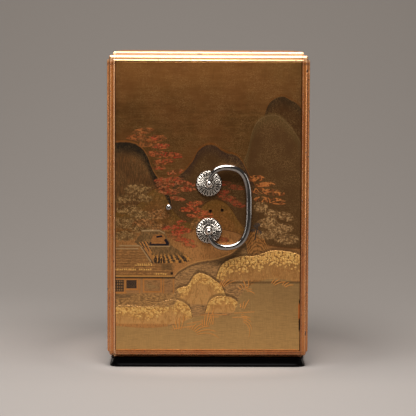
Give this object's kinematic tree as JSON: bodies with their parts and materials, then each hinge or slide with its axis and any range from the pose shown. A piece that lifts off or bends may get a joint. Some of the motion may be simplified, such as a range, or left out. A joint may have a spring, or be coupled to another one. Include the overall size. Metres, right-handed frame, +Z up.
{
  "type": "lacquer cabinet",
  "caption": "Small upright box cabinet in gold lacquer with moulded edges, a lift-out picture front, a swinging bail handle and a low black plinth.",
  "frame": {"origin": "middle of the plinth's flat underside", "axes": "+Z up, the front panel faces -Y, +X is to the right as one looks at the front"},
  "size_m": [0.203, 0.2265, 0.3178],
  "materials": {
    "gold_lacquer": "satin gold-sprinkled lacquer over wood, worn at the edges",
    "picture_lacquer": "satin gold lacquer with a low sprinkled landscape picture",
    "black_lacquer": "polished black lacquer over wood",
    "silver": "polished silver, darker in the hollows"
  },
  "bodies": {
    "cabinet": {"carcase": "gold_lacquer", "front_panel": "picture_lacquer", "plinth": "black_lacquer", "upper_rosette": "silver", "lower_rosette": "silver", "upper_post": "silver", "lower_post": "silver", "rest_stud": "silver"},
    "bail": {"bail": "silver"}
  },
  "joints": [
    {"name": "bail_swing", "type": "hinge", "parent": "cabinet", "child": "bail", "pos_m": [0.0008, -0.1157, 0.16255], "axis": [0, 0, -1], "range_deg": [0, 184.8]}
  ]
}
